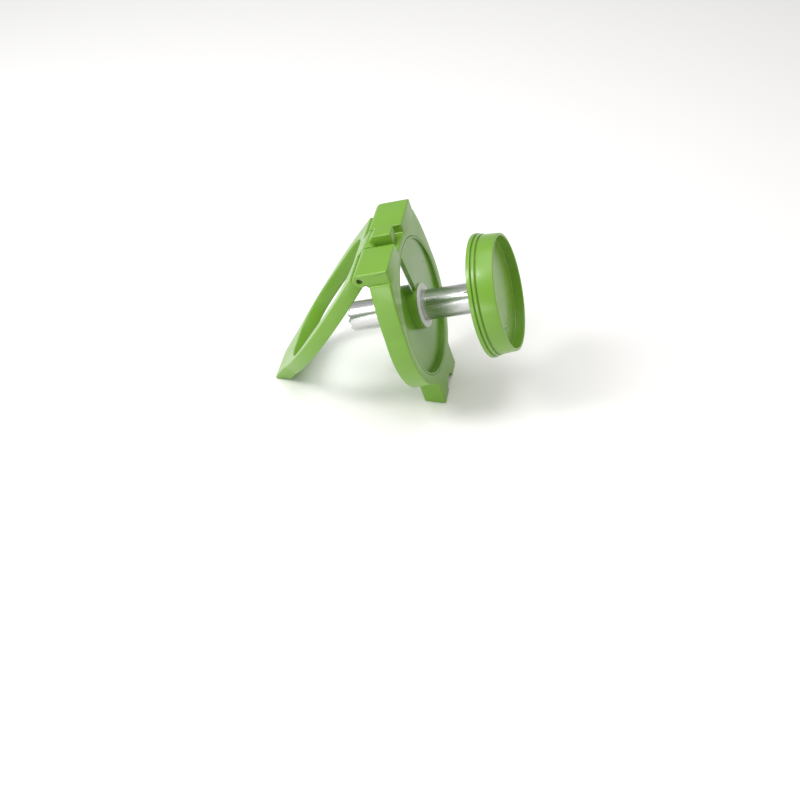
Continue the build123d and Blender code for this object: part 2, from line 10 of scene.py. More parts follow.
import bmesh
import bpy
import numpy as np
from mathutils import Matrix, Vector


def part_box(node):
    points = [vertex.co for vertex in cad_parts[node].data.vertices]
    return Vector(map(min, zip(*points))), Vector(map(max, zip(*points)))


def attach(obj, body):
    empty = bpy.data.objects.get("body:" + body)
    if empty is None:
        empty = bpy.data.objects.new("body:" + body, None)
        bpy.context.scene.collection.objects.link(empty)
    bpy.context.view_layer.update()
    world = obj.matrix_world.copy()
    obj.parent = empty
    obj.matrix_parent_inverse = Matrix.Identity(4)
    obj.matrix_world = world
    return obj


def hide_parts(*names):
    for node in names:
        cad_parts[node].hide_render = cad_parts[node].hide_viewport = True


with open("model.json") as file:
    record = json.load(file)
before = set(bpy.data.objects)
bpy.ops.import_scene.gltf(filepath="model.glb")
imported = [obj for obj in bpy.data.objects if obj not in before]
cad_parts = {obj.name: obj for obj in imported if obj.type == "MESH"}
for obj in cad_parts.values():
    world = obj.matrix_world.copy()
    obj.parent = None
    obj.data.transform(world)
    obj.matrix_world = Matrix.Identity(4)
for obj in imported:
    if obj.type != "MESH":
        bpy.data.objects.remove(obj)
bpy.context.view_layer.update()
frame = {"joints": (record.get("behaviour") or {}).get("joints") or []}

bl_info = {
    "name": "Apple corer and spiral slicer",
    "version": (1, 0, 0),
    "blender": (4, 5, 0),
    "location": "View3D > Sidebar > Corer",
    "description": "Detailed visual pieces over the packed frame of a hand-twisted apple corer",
    "category": "Object",
}

MM = 0.001
TAU = 2 * math.pi


def unit(vector):
    """A vector scaled to length one."""
    vector = np.asarray(vector, float)
    return vector / np.linalg.norm(vector)


JOINTS = {joint["name"]: joint for joint in frame["joints"]}
HINGE = np.array(JOINTS["leg_fold"]["pos_m"], float) / MM
AXIS = unit(JOINTS["pusher_turn"]["axis"])
ACROSS = np.array((0.0, 1.0, 0.0))
UP = np.cross(AXIS, ACROSS)
RING_MIDDLE = np.array(JOINTS["pusher_turn"]["pos_m"], float) / MM
RING_ZERO = RING_MIDDLE + AXIS * np.dot(HINGE - RING_MIDDLE, AXIS)

# the sizes below are those of the frame's solids
RING_TILT = math.atan2(AXIS[2], AXIS[0])
LEG_LEAN = math.radians(29.5)
LEG_UP = np.array((math.sin(LEG_LEAN), 0.0, math.cos(LEG_LEAN)))
LEG_FACING = np.array((math.cos(LEG_LEAN), 0.0, -math.sin(LEG_LEAN)))
FACE_BACK, FACE_FRONT = 5.0, 18.0
FACE_MIDDLE = (FACE_BACK + FACE_FRONT) / 2
RING_OUTER_R, RING_BORE_R, RING_LEDGE_R = 49.5, 43.4, 39.2
HINGE_RISE = 49.0
FOOT_DROP, FOOT_HALF, ARCH_HALF, ARCH_RISE = 60.0, 21.0, 7.5, 4.0
FLOOR_GAP = 0.4
SHOULDER_Y, SHOULDER_U, SHOULDER_ANGLE = 41.0, 45.0, math.radians(12)
SHOULDER_BOW = 1.75
LUG_OUTER, LUG_INNER, BARREL_R, BARREL_RELIEF = 40.0, 10.5, 4.4, 0.8
SEAT_DROP, STOP_GAP = 1.5, 0.15
HEEL_HALF, HEEL_BACK, HEEL_REACH, HEEL_TOP = 4.8, 3.5, 15.0, 8.0
KNUCKLE_HALF, BORE_EDGE = 9.3, 0.3
PIN_R, PIN_RECESS, PIN_GAP = 1.75, 2.5, 0.06
LEG_HALF_THICK = 4.5
LEG_SIDE = ((35.0, -6.1), (41.0, -46.0), (21.0, -100.0))    # top, widest place, ankle
TOE_HALF = 14.0
WINDOW_AT, WINDOW_HALF, WINDOW_REACH, WINDOW_CORNER = 51.5, 31.0, 39.5, 25.0
NECK_AT, NECK_HALF = -6.2, 5.8
FOOT_BEND, TOE_BEND = 52.0, 102.0    # where the foot and the toe begin to be cut level
DISC_BACK, DISC_R, DISC_INNER_R = 8.9, 43.25, 41.95
HUB_R, HUB_BACK, HUB_BORE_R = 14.2, 5.5, 12.0
PITCH, RAMP_THICK, SLOT_AT, SLOT_ANGLE = 6.5, 2.6, 101.0, 16.0
BLADE_TOP, BLADE_THICK, BLADE_SEAT, BLADE_SHOWS, BLADE_BEVEL = 16.3, 0.8, 9.2, 3.2, 1.8
RIVET_PLACES, RIVET_R, RIVET_HEAD_R, RIVET_HEAD = (21.0, 36.0), 1.1, 2.0, 0.6
TUBE_R, TUBE_WALL, TUBE_TEETH, TOOTH_DEPTH = 9.5, 0.6, 12, 1.6
PUSH = 57.0
TUBE_TIP = PUSH - 86.0

# the camera is placed from the hinge: turn and lift in radians, distances in millimetres
CAMERA_TURN, CAMERA_LIFT, CAMERA_FAR = 0.168, 0.691, 900.0
CAMERA_RIGHT, CAMERA_DOWN, CAMERA_LENS = 17.0, 93.6, 67.3

RING_PLACE = (RING_ZERO, ACROSS, UP, AXIS)
HINGE_PLACE = (HINGE, AXIS, UP, ACROSS)
LEG_PLACE = (HINGE, ACROSS, LEG_UP, LEG_FACING)
FLOOR_PLACE = (np.zeros(3), np.array((1.0, 0, 0)), ACROSS, np.array((0, 0, 1.0)))


# ------------------------------------------------------------------ surfaces
def set_down(place, flat, depth):
    """Local points to the row frame: origin + x X + y Y + depth Z."""
    origin, x_dir, y_dir, z_dir = place
    flat, depth = np.asarray(flat, float), np.asarray(depth, float)
    return (origin + flat[..., :1] * x_dir + flat[..., 1:2] * y_dir
            + depth[..., None] * z_dir)


def skin(rows, ends):
    """Quads between neighbouring closed rows. `join` closes the grid on itself; `cap` ends it
    in a pole at the middle of its first and last rows."""
    count, size = rows.shape[:2]
    i = np.arange(count if ends == "join" else count - 1)[:, None]
    j = np.arange(size)[None, :]
    after, below = (j + 1) % size, (i + 1) % count
    quads = np.stack([i * size + j, i * size + after, below * size + after,
                      below * size + j], axis=-1).reshape(-1, 4)
    points, faces = rows.reshape(-1, 3), quads.tolist()
    if ends == "cap":
        first, last = len(points), len(points) + 1
        points = np.vstack([points, rows[0].mean(0), rows[-1].mean(0)])
        turn, base = j[0], (count - 1) * size
        faces += np.stack([np.full(size, first), after[0], turn], -1).tolist()
        faces += np.stack([np.full(size, last), base + turn, base + after[0]], -1).tolist()
    return points, faces


def eased(points, radius, steps=5, closed=True):
    """Polygon with its corners eased by P + t ((1 - s)^2 a + s^2 b), where a and b point along
    the two edges of the corner P, and t is at most 45% of the shorter edge."""
    points = np.asarray(points, float)
    back, ahead = np.roll(points, 1, 0) - points, np.roll(points, -1, 0) - points
    back_long, ahead_long = np.linalg.norm(back, axis=1), np.linalg.norm(ahead, axis=1)
    trim = np.minimum(radius, 0.45 * np.minimum(back_long, ahead_long))
    if not closed:
        trim[[0, -1]] = 0
    s = np.linspace(0, 1, steps)[None, :, None]
    a = (back / back_long[:, None])[:, None]
    b = (ahead / ahead_long[:, None])[:, None]
    arcs = points[:, None] + trim[:, None, None] * ((1 - s) ** 2 * a + s ** 2 * b)
    arcs = arcs.reshape(-1, 2)
    if not closed:
        arcs = arcs[steps - 1:len(arcs) - steps + 1]
    return arcs


def lathe(profile, ends="join", segments=160, place=RING_PLACE, centre=(0.0, 0.0), shift=None):
    """Profile of (along, radius) turned about an axis: centre + r (cos t, sin t). `shift` adds
    to `along` what it gives for the turn t and the profile."""
    t = np.linspace(0, TAU, segments, endpoint=False)[None, :]
    along = profile[:, 0][:, None] + np.zeros_like(t)
    radius = profile[:, 1][:, None]
    if shift is not None:
        along = along + shift(t, profile)
    flat = np.stack([centre[0] + radius * np.cos(t), centre[1] + radius * np.sin(t)], -1)
    return skin(set_down(place, flat, along), ends)


def reach(polygon, angles):
    """Distance from the origin to a polygon's far side in each direction: the largest t where
    the ray t d meets an edge p + s e with s between 0 and 1."""
    p = np.asarray(polygon, float)
    e = np.roll(p, -1, 0) - p
    d = np.stack([np.cos(angles), np.sin(angles)], -1)[:, None]
    cross = d[..., 0] * e[:, 1] - d[..., 1] * e[:, 0]
    cross = np.where(np.abs(cross) < 1e-12, 1e-12, cross)
    t = (p[:, 0] * e[:, 1] - p[:, 1] * e[:, 0]) / cross
    s = (p[:, 0] * d[..., 1] - p[:, 1] * d[..., 0]) / cross
    return np.where((s > -1e-9) & (s < 1 + 1e-9) & (t > 0), t, 0).max(axis=1)


def ray_loop(radius, angles):
    """Loop r(t) (cos t, sin t)."""
    return np.stack([radius * np.cos(angles), radius * np.sin(angles)], -1)


def softened(loop, spacing, width):
    """Loop resampled at even steps along its length and averaged over a short width, which
    rounds its corners."""
    ring = np.vstack([loop, loop[:1]])
    length = np.concatenate([[0], np.cumsum(np.linalg.norm(np.diff(ring, axis=0), axis=1))])
    count = int(length[-1] / spacing)
    s = np.arange(count) * length[-1] / count
    even = np.stack([np.interp(s, length, ring[:, k]) for k in (0, 1)], -1)
    reach_out = max(1, round(width / spacing / 2))
    offsets = range(-reach_out, reach_out + 1)
    return np.mean([np.roll(even, k, axis=0) for k in offsets], axis=0)


def outward(loop):
    """Unit normals of an anticlockwise loop, from its central differences."""
    tangent = np.roll(loop, -1, 0) - np.roll(loop, 1, 0)
    normal = np.stack([tangent[:, 1], -tangent[:, 0]], -1)
    return normal / np.linalg.norm(normal, axis=1, keepdims=True)


def wall(loop, low, high, edge, side=1, steps=4):
    """Rows of a wall between two depths with both edges rounded by quarter circles of radius
    `edge`. `side` is 1 for an outer wall and -1 for the wall of an opening."""
    a = np.linspace(0, math.pi / 2, steps + 1)
    inset = edge * (1 - np.sin(a))
    rise = edge * (1 - np.cos(a))
    inset = np.concatenate([inset, inset[::-1]])
    depth = np.concatenate([low + rise, high - rise[::-1]])
    rows = loop[None] - side * inset[:, None, None] * outward(loop)[None]
    return rows, np.repeat(depth[:, None], len(loop), 1)


def face(first, second, count=3):
    """Rows between two rows on the flat face that joins them."""
    share = (np.arange(1, count + 1) / (count + 1))[:, None, None]
    rows = first[0][None] * (1 - share) + second[0][None] * share
    depth = first[1][None] * (1 - share[..., 0]) + second[1][None] * share[..., 0]
    return rows, depth


def around(angle_loop, radius):
    """Circle whose points lie on the same rays as those of another loop."""
    angle = np.arctan2(angle_loop[:, 1], angle_loop[:, 0])
    return ray_loop(radius, angle)


def stacked(parts):
    """Several (rows, depths) one after the other."""
    return np.concatenate([p[0] for p in parts]), np.concatenate([p[1] for p in parts])


def plate(outer, inner_parts, low, high, edge):
    """Plate with one opening: outer wall from low to high, face, the opening's wall back to
    low, face. The section is closed on itself."""
    walls = wall(outer, low, high, edge)
    inner = stacked(inner_parts)
    front = face((walls[0][-1], walls[1][-1]), (inner[0][0], inner[1][0]))
    rear = face((inner[0][-1], inner[1][-1]), (walls[0][0], walls[1][0]))
    return stacked([walls, front, inner, rear])


def opening(loop, low, high, edge):
    """Wall of an opening, from high to low."""
    rows, depth = wall(loop, low, high, edge, side=-1)
    return rows[::-1], depth[::-1]


def bar(loop, low, high, edge, place, steps=4):
    """Solid bar of a given section with rounded ends and a pole in each end."""
    flat, depth = wall(loop, low, high, edge, steps=steps)
    return skin(set_down(place, flat, depth), "cap")


def block_loop(half_x, half_y, corner, centre=(0.0, 0.0)):
    """Rounded rectangle."""
    corners = np.array([(1, 1), (-1, 1), (-1, -1), (1, -1)], float) * (half_x, half_y)
    return eased(corners + centre, corner, steps=6)


def arc_through(a, b, c, count):
    """Points of the circle through three points, from the first to the last."""
    a, b, c = (np.asarray(p, float) for p in (a, b, c))
    m = 2 * np.array([b - a, c - a])
    centre = np.linalg.solve(m, np.array([b @ b - a @ a, c @ c - a @ a]))
    start, mid, end = (math.atan2(*(p - centre)[::-1]) for p in (a, b, c))
    mid, end = start + (mid - start) % -TAU, start + (end - start) % -TAU
    if end > mid:
        mid, end = start + (mid - start) % TAU, start + (end - start) % TAU
    t = np.linspace(start, end, count)
    return centre + np.linalg.norm(a - centre) * np.stack([np.cos(t), np.sin(t)], -1)


# ------------------------------------------------------------------ finishes
def group_tree(name, inputs, outputs):
    """Empty shader node group with named sockets."""
    tree = bpy.data.node_groups.new(name, "ShaderNodeTree")
    for socket, kind, default in inputs:
        made = tree.interface.new_socket(name=socket, in_out="INPUT", socket_type=kind)
        if default is not None:
            made.default_value = default
    for socket in outputs:
        tree.interface.new_socket(name=socket, in_out="OUTPUT", socket_type="NodeSocketFloat")
    return tree, tree.nodes.new("NodeGroupInput"), tree.nodes.new("NodeGroupOutput")


def moulded_grain():
    """Fine orange-peel texture of a mould and the slow unevenness of its gloss."""
    if "moulded grain" in bpy.data.node_groups:
        return bpy.data.node_groups["moulded grain"]
    tree, given, made = group_tree(
        "moulded grain",
        [("Vector", "NodeSocketVector", None), ("Grain Scale", "NodeSocketFloat", 900.0),
         ("Cloud Scale", "NodeSocketFloat", 38.0), ("Low", "NodeSocketFloat", 0.28),
         ("High", "NodeSocketFloat", 0.4)],
        ["Height", "Roughness", "Tone"])
    link = tree.links.new
    grain, cloud, scuff = (tree.nodes.new("ShaderNodeTexNoise") for _ in range(3))
    link(given.outputs["Vector"], grain.inputs["Vector"])
    link(given.outputs["Grain Scale"], grain.inputs["Scale"])
    grain.inputs["Detail"].default_value = 2.0
    link(given.outputs["Vector"], cloud.inputs["Vector"])
    link(given.outputs["Cloud Scale"], cloud.inputs["Scale"])
    cloud.inputs["Detail"].default_value = 4.0
    stretch = tree.nodes.new("ShaderNodeMapping")
    stretch.inputs["Scale"].default_value = (1.0, 5.0, 1.6)
    stretch.inputs["Rotation"].default_value = (0.3, 0.9, 0.5)
    link(given.outputs["Vector"], stretch.inputs["Vector"])
    link(stretch.outputs["Vector"], scuff.inputs["Vector"])
    scuff.inputs["Scale"].default_value = 260.0
    scuff.inputs["Detail"].default_value = 5.0
    level = tree.nodes.new("ShaderNodeMath")
    level.operation = "MULTIPLY_ADD"
    link(scuff.outputs["Fac"], level.inputs[0])
    level.inputs[1].default_value = 0.35
    link(cloud.outputs["Fac"], level.inputs[2])
    spread = tree.nodes.new("ShaderNodeMapRange")
    spread.inputs["From Min"].default_value = 0.4
    spread.inputs["From Max"].default_value = 0.95
    link(level.outputs["Value"], spread.inputs["Value"])
    link(given.outputs["Low"], spread.inputs["To Min"])
    link(given.outputs["High"], spread.inputs["To Max"])
    link(grain.outputs["Fac"], made.inputs["Height"])
    link(spread.outputs["Result"], made.inputs["Roughness"])
    link(cloud.outputs["Fac"], made.inputs["Tone"])
    return tree


def drawn_lines():
    """Long fine scratches of drawn, ground or turned steel along the vector's X."""
    if "drawn lines" in bpy.data.node_groups:
        return bpy.data.node_groups["drawn lines"]
    tree, given, made = group_tree(
        "drawn lines",
        [("Vector", "NodeSocketVector", None), ("Fineness", "NodeSocketFloat", 1.0),
         ("Low", "NodeSocketFloat", 0.2), ("High", "NodeSocketFloat", 0.36)],
        ["Height", "Roughness", "Tone"])
    link = tree.links.new
    stretch = tree.nodes.new("ShaderNodeMapping")
    stretch.inputs["Scale"].default_value = (60.0, 5200.0, 5200.0)
    link(given.outputs["Vector"], stretch.inputs["Vector"])
    lines, cloud = (tree.nodes.new("ShaderNodeTexNoise") for _ in range(2))
    link(stretch.outputs["Vector"], lines.inputs["Vector"])
    link(given.outputs["Fineness"], lines.inputs["Scale"])
    lines.inputs["Detail"].default_value = 3.0
    link(given.outputs["Vector"], cloud.inputs["Vector"])
    cloud.inputs["Scale"].default_value = 90.0
    cloud.inputs["Detail"].default_value = 3.0
    spread = tree.nodes.new("ShaderNodeMapRange")
    spread.inputs["From Min"].default_value = 0.3
    spread.inputs["From Max"].default_value = 0.7
    link(lines.outputs["Fac"], spread.inputs["Value"])
    link(given.outputs["Low"], spread.inputs["To Min"])
    link(given.outputs["High"], spread.inputs["To Max"])
    link(lines.outputs["Fac"], made.inputs["Height"])
    link(spread.outputs["Result"], made.inputs["Roughness"])
    link(cloud.outputs["Fac"], made.inputs["Tone"])
    return tree


def finish_tree(name, group, values, dark, light, metallic, depth, turn=(0.0, 0.0, 0.0)):
    """Material whose colour runs between two tones, with roughness and bump from a group."""
    if name in bpy.data.materials:
        return bpy.data.materials[name]
    material = bpy.data.materials.new(name)
    material.use_nodes = True
    tree = material.node_tree
    link = tree.links.new
    shader = tree.nodes["Principled BSDF"]
    where = tree.nodes.new("ShaderNodeTexCoord")
    aim = tree.nodes.new("ShaderNodeMapping")
    aim.inputs["Rotation"].default_value = turn
    link(where.outputs["Object"], aim.inputs["Vector"])
    effect = tree.nodes.new("ShaderNodeGroup")
    effect.node_tree = group
    link(aim.outputs["Vector"], effect.inputs["Vector"])
    for socket, value in values.items():
        effect.inputs[socket].default_value = value
    tone = tree.nodes.new("ShaderNodeMix")
    tone.data_type = "RGBA"
    tone.inputs["A"].default_value = (*dark, 1)
    tone.inputs["B"].default_value = (*light, 1)
    link(effect.outputs["Tone"], tone.inputs["Factor"])
    link(tone.outputs["Result"], shader.inputs["Base Color"])
    link(effect.outputs["Roughness"], shader.inputs["Roughness"])
    bump = tree.nodes.new("ShaderNodeBump")
    bump.inputs["Distance"].default_value = depth * MM
    bump.inputs["Strength"].default_value = 0.25
    link(effect.outputs["Height"], bump.inputs["Height"])
    link(bump.outputs["Normal"], shader.inputs["Normal"])
    shader.inputs["Metallic"].default_value = metallic
    return material


def moulded_green():
    """Semi-gloss moulded plastic of the body."""
    colours = bpy.context.scene.corer_finish
    base = np.array(colours.body)
    material = finish_tree(
        "moulded green", moulded_grain(),
        {"Low": colours.gloss - 0.05, "High": colours.gloss + 0.1},
        tuple(base * 0.93), tuple(np.minimum(base * 1.06, 1)), 0.0, 0.05)
    shader = material.node_tree.nodes["Principled BSDF"]
    shader.inputs["IOR"].default_value = 1.5
    shader.inputs["Coat Weight"].default_value = 0.15
    shader.inputs["Coat Roughness"].default_value = 0.16
    return material


def bearing_white():
    """Off-white bearing plastic of the sleeve and the clamp."""
    return finish_tree("bearing white", moulded_grain(), {"Low": 0.34, "High": 0.5},
                       (0.66, 0.655, 0.62), (0.76, 0.755, 0.72), 0.0, 0.03)


def foot_rubber():
    """Matt dark rubber."""
    return finish_tree("foot rubber", moulded_grain(),
                       {"Grain Scale": 2200.0, "Low": 0.7, "High": 0.92},
                       (0.018, 0.018, 0.018), (0.035, 0.035, 0.034), 0.0, 0.06)


def tube_steel():
    """Drawn stainless steel with its lines along the tube."""
    tilt = (0.0, RING_TILT, 0.0)
    return finish_tree("tube steel", drawn_lines(), {"Low": 0.2, "High": 0.34},
                       (0.56, 0.56, 0.57), (0.68, 0.68, 0.69), 1.0, 0.006, tilt)


def screw_steel():
    """Bright turned steel of screws, pin, prongs and clip."""
    return finish_tree("screw steel", drawn_lines(), {"Fineness": 1.4, "Low": 0.22, "High": 0.4},
                       (0.5, 0.5, 0.51), (0.62, 0.62, 0.63), 1.0, 0.004)


def blade_steel():
    """Ground and honed steel with its lines across the blade."""
    turn = (math.radians(SLOT_AT), RING_TILT, math.radians(90))
    return finish_tree("blade steel", drawn_lines(), {"Low": 0.12, "High": 0.26},
                       (0.62, 0.62, 0.63), (0.74, 0.74, 0.75), 1.0, 0.004, turn)


FINISHES = {
    "green_body": moulded_green, "bearing_plastic": bearing_white, "rubber": foot_rubber,
    "tube_steel": tube_steel, "steel": screw_steel, "blade_steel": blade_steel,
}


def make_piece(name, shells, nodes, body, slot, sharp=38.0):
    """One mesh piece of several closed shells, facing outwards, that stands for CAD nodes."""
    counts = np.cumsum([0] + [len(points) for points, _ in shells])
    points = np.vstack([points for points, _ in shells]) * MM
    faces = [[k + start for k in f] for (_, fs), start in zip(shells, counts) for f in fs]
    mesh = bpy.data.meshes.new(name)
    mesh.from_pydata(points.tolist(), [], faces)
    work = bmesh.new()
    work.from_mesh(mesh)
    bmesh.ops.remove_doubles(work, verts=work.verts, dist=1e-7)
    bmesh.ops.recalc_face_normals(work, faces=work.faces)
    work.to_mesh(mesh)
    work.free()
    mesh.polygons.foreach_set("use_smooth", np.ones(len(mesh.polygons), bool))
    mesh.set_sharp_from_angle(angle=math.radians(sharp))
    mesh.materials.append(FINISHES[slot]())
    piece = bpy.data.objects.new(name, mesh)
    bpy.context.scene.collection.objects.link(piece)
    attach(piece, body)
    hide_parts(*nodes)


# ------------------------------------------------------------------ shapes of the pieces
def ring_outline():
    """Outline of the ring: the farthest of circle, shoulders and foot on each ray, cut level at
    the knuckle's seat and by the arch of the foot."""
    t = np.linspace(0, TAU, 4000, endpoint=False)
    corner = RING_OUTER_R * np.array((math.cos(SHOULDER_ANGLE), math.sin(SHOULDER_ANGLE)))
    end = np.array((SHOULDER_Y, SHOULDER_U))
    along = unit(corner - end)
    middle = (corner + end) / 2 + SHOULDER_BOW * np.array((-along[1], along[0]))
    shoulder = arc_through(corner, middle, end, 30)
    shoulders = np.vstack([shoulder, shoulder[::-1] * (-1, 1)])
    low = -FOOT_DROP + FLOOR_GAP
    foot = [(FOOT_HALF, -20), (-FOOT_HALF, -20), (-FOOT_HALF, low), (FOOT_HALF, low)]
    radius = np.maximum(RING_OUTER_R, reach(shoulders, t))
    radius = np.maximum(radius, reach(foot, t))
    loop = ray_loop(radius, t)
    seat = HINGE_RISE - SEAT_DROP
    over = (np.abs(loop[:, 0]) < LUG_INNER) & (loop[:, 1] > seat)
    loop[over] *= (seat / loop[over, 1])[:, None]
    arch = (np.abs(loop[:, 0]) < ARCH_HALF) & (loop[:, 1] < 0)
    bow = np.sqrt(np.clip(1 - (loop[arch, 0] / ARCH_HALF) ** 2, 0, 1))
    loop[arch, 1] = low + ARCH_RISE * bow
    return softened(loop, 0.45, 1.1)


def ring_shell(edge):
    """The ring: a stepped bore, with the foot sheared so that it stands level, and a relief
    round the hinge axis where the knuckle turns."""
    outer = ring_outline()
    bore, ledge = around(outer, RING_BORE_R), around(outer, RING_LEDGE_R)
    inner = [opening(bore, DISC_BACK - 0.02, FACE_FRONT, edge * 0.6),
             opening(ledge, FACE_BACK, DISC_BACK, edge * 0.6)]
    flat, depth = plate(outer, inner, FACE_BACK, FACE_FRONT, edge)
    share = np.clip((-flat[..., 1] - FOOT_BEND) / (FOOT_DROP - FLOOR_GAP - FOOT_BEND), 0, 1)
    flat = flat.copy()
    flat[..., 1] -= share * (depth - FACE_MIDDLE) * math.tan(RING_TILT)
    flat[..., 1] += share * (FLOOR_GAP / math.cos(RING_TILT) - FLOOR_GAP)
    rise, out = flat[..., 1] - HINGE_RISE, depth
    far = np.hypot(rise, out)
    near = (far < BARREL_R + BARREL_RELIEF) & (np.abs(flat[..., 0]) < LUG_INNER)
    grow = np.where(near, (BARREL_R + BARREL_RELIEF) / np.maximum(far, 1e-6), 1.0)
    flat[..., 1] = HINGE_RISE + rise * grow
    depth = out * grow
    return skin(set_down(RING_PLACE, flat, depth), "join")


def lug_shell(side, edge):
    """Hinge lug: the farthest of barrel and block on each ray from the pin, with the bore of
    the pin."""
    t = np.linspace(0, TAU, 1600, endpoint=False)
    bottom = SHOULDER_U - 2.2 - HINGE_RISE
    front = FACE_FRONT + 0.02
    block = [(0, 0), (FACE_BACK, bottom), (front, bottom), (front, BARREL_R), (0, BARREL_R)]
    loop = softened(ray_loop(np.maximum(BARREL_R, reach(block, t)), t), 0.22, 1.2)
    low, high = (-LUG_OUTER, -LUG_INNER) if side < 0 else (LUG_INNER, LUG_OUTER)
    bore = around(loop, PIN_R)
    flat, depth = plate(loop, [opening(bore, low, high, BORE_EDGE)], low, high, edge)
    return skin(set_down(HINGE_PLACE, flat, depth), "join")


def leg_shells(edge):
    """The leg: plate with its window, the neck that joins it to the knuckle, the knuckle and
    the heel that stops it."""
    t = np.linspace(0, TAU, 4000, endpoint=False)
    end = (HINGE[2] - FLOOR_GAP) / math.cos(LEG_LEAN)
    side = arc_through(*LEG_SIDE, 60)
    half = np.vstack([side, [(TOE_HALF, -end)]])
    outline = np.vstack([half, half[::-1] * (-1, 1)]) + (0, WINDOW_AT)
    outer = softened(ray_loop(reach(outline, t), t), 0.5, 1.4)
    angle = np.arctan2(outer[:, 1], outer[:, 0])
    corners = np.array([(1, 1), (-1, 1), (-1, -1), (1, -1)]) * (WINDOW_HALF, WINDOW_REACH)
    inner = ray_loop(reach(eased(corners, WINDOW_CORNER, steps=40), angle), angle)
    flat, depth = plate(outer, [opening(inner, -LEG_HALF_THICK, LEG_HALF_THICK, edge)],
                        -LEG_HALF_THICK, LEG_HALF_THICK, edge)
    flat = flat - (0, WINDOW_AT)
    share = np.clip((-flat[..., 1] - TOE_BEND) / (end - TOE_BEND), 0, 1)
    flat[..., 1] += share * depth * math.tan(LEG_LEAN)
    shells = [skin(set_down(LEG_PLACE, flat, depth), "join")]
    neck = block_loop(KNUCKLE_HALF, NECK_HALF, 0.6, (0.0, NECK_AT))
    shells.append(bar(neck, -LEG_HALF_THICK + 0.03, LEG_HALF_THICK - 0.03, 0.5, LEG_PLACE))
    t = np.linspace(0, TAU, 1600, endpoint=False)
    loop = ray_loop(np.full(t.shape, BARREL_R), t)
    bore = around(loop, PIN_R + PIN_GAP)
    flat, depth = plate(loop, [opening(bore, -KNUCKLE_HALF, KNUCKLE_HALF, 0.25)],
                        -KNUCKLE_HALF, KNUCKLE_HALF, edge)
    shells.append(skin(set_down(HINGE_PLACE, flat, depth), "join"))
    low, start = STOP_GAP - SEAT_DROP, BARREL_R / 2
    heel = np.array([(0, start), (0, BARREL_R), (HEEL_BACK, HEEL_TOP), (HEEL_REACH, HEEL_TOP),
                     (HEEL_REACH, low), (start, low), (start, start)])
    heel = eased(heel[::-1], 0.8, steps=4)
    shells.append(bar(heel, -HEEL_HALF, HEEL_HALF, edge * 0.7, HINGE_PLACE))
    return shells


def ramp_shell():
    """Helical ramp: height rises by one slice over the turn. Its last rows run parallel to the
    slot, at turn end - asin(d / r), where the plastic is thinned over the blade."""
    start, end = SLOT_AT + SLOT_ANGLE - 360, SLOT_AT
    radius = np.linspace(HUB_R - 0.6, DISC_INNER_R + 0.6, 24)[None, :]
    turn = np.linspace(start, end - 62, 150)[:, None] + np.zeros_like(radius)
    d = np.concatenate([np.linspace(9.6, 9.5, 2), np.linspace(9.3, 0, 24)])[:, None]
    last = end - np.degrees(np.arcsin(np.clip(d / radius, 0, 1)))
    share = np.linspace(0, 1, 42)[1:-1, None]
    middle = turn[-1][None] * (1 - share) + last[0][None] * share
    turn = np.vstack([turn, middle, last])
    thick = np.full(len(turn), RAMP_THICK)
    thick[len(turn) - len(last) + 1:] = FACE_FRONT - BLADE_TOP + 0.02
    top = DISC_BACK + RAMP_THICK + PITCH * (turn - start) / (end - start)
    bottom = np.maximum(top - thick[:, None], np.where(thick[:, None] < 2, BLADE_TOP, 0))
    x, y = radius * np.cos(np.radians(turn)), radius * np.sin(np.radians(turn))
    upper, lower = np.stack([x, y], -1), np.stack([x, y], -1)[:, ::-1]
    flat = np.concatenate([upper, lower], axis=1)
    depth = np.concatenate([top, bottom[:, ::-1]], axis=1)
    return skin(set_down(RING_PLACE, flat, depth), "cap")


def screw_shell(place, centre, foot, head, tip, radius, shank_r):
    """Screw with a domed head and a cross recess: the head's height falls where the point is
    in either arm of the cross."""
    rise = head * 0.18
    dome = np.linspace(0.02, 0.86, 18)
    sign = 1 if tip > foot else -1
    top = np.stack([foot + sign * rise * dome ** 2, dome * radius], -1)
    rest = eased([(foot + sign * rise, radius * 0.9), (foot + sign * rise * 2.2, radius),
                  (foot + sign * head, radius), (foot + sign * head, shank_r),
                  (tip, shank_r)], 0.12, 4, closed=False)
    profile = np.vstack([top, rest])
    count = len(top)

    def recess(t, shape):
        x, y = shape[:, 1:2] * np.cos(t), shape[:, 1:2] * np.sin(t)
        arm, width = radius * 0.56, radius * 0.13
        in_x = (np.abs(x) < arm) & (np.abs(y) < width)
        in_y = (np.abs(y) < arm) & (np.abs(x) < width)
        deep = np.where(in_x | in_y, head * 0.55, 0.0)
        deep[count:] = 0
        return sign * deep
    return lathe(profile, "cap", 96, place, centre, recess)


def spot(radius, angle):
    """Point of a circle about the ring's axis, the angle in degrees from the row's Y."""
    return (radius * math.cos(math.radians(angle)), radius * math.sin(math.radians(angle)))


BOSS_TURNS = (0.25, 0.58, 0.92)    # places of the bosses, in turns of the ramp
BOSS_SPOTS = [spot(40.85, SLOT_AT + SLOT_ANGLE - 360 + k * (360 - SLOT_ANGLE))
              for k in BOSS_TURNS]
BASE_SCREW_SPOTS = [spot(26.0, 30 + 120 * k) for k in range(3)]


def blade_place(depth=BLADE_TOP):
    """Plane of the blade: x runs out along the slot and y across it, into the opening."""
    c, s = math.cos(math.radians(SLOT_AT)), math.sin(math.radians(SLOT_AT))
    return (RING_ZERO + AXIS * depth, c * ACROSS + s * UP, -s * ACROSS + c * UP, AXIS)


